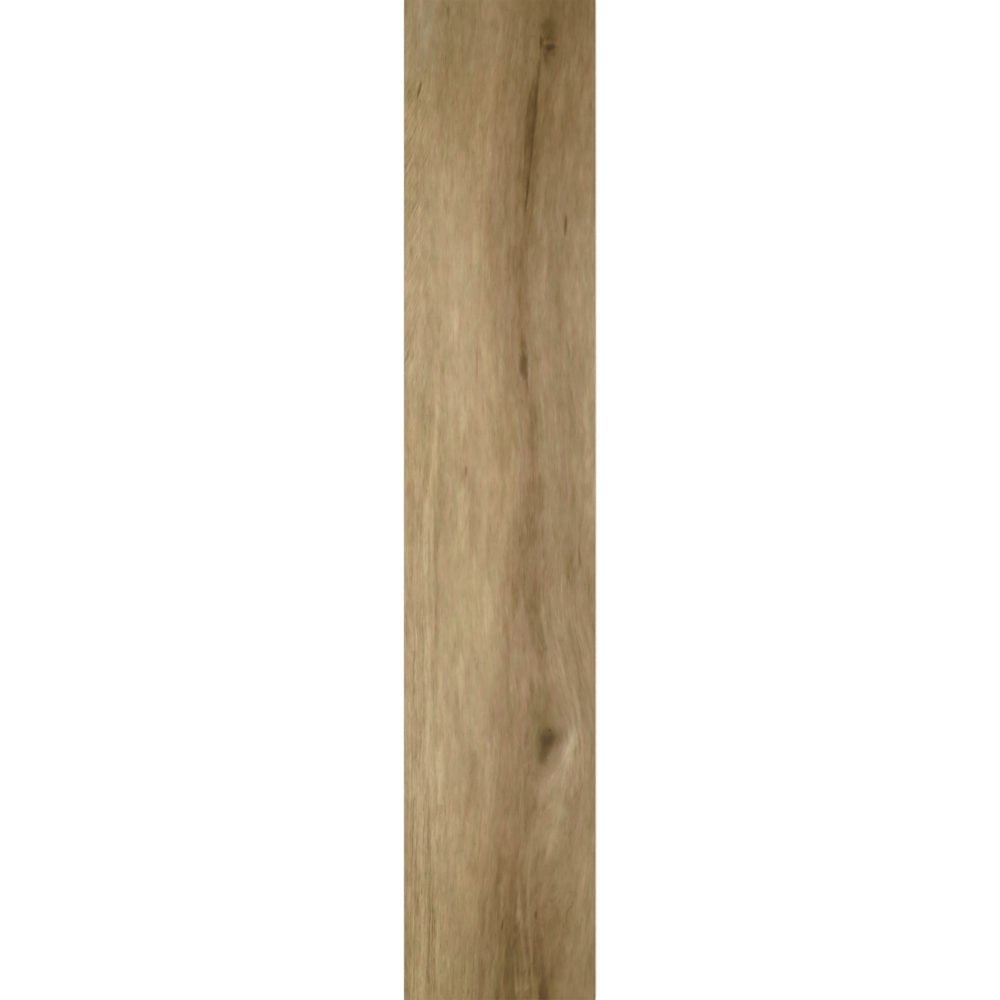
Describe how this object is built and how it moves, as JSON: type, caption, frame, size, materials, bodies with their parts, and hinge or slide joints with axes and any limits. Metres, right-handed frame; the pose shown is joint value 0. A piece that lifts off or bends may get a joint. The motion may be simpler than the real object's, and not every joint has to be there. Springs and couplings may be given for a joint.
{
  "type": "wood look porcelain plank tile",
  "caption": "Long thin rectangular porcelain tile with a matt wood grain face, square ground edges with a fine arris, and a lattice of low keying ribs on its back.",
  "frame": {"origin": "middle of the back, on the plane of its ribs", "axes": "+Z out of the printed face, +Y along the length towards the top of the picture, +X across the width to the picture's right"},
  "size_m": [0.23, 1.2, 0.0095],
  "materials": {
    "porcelain": "matt glazed face printed as knotty oak, over a pale beige unglazed body that shows on the edges and the back"
  },
  "bodies": {
    "root": {"plank_tile": "porcelain"}
  },
  "joints": []
}
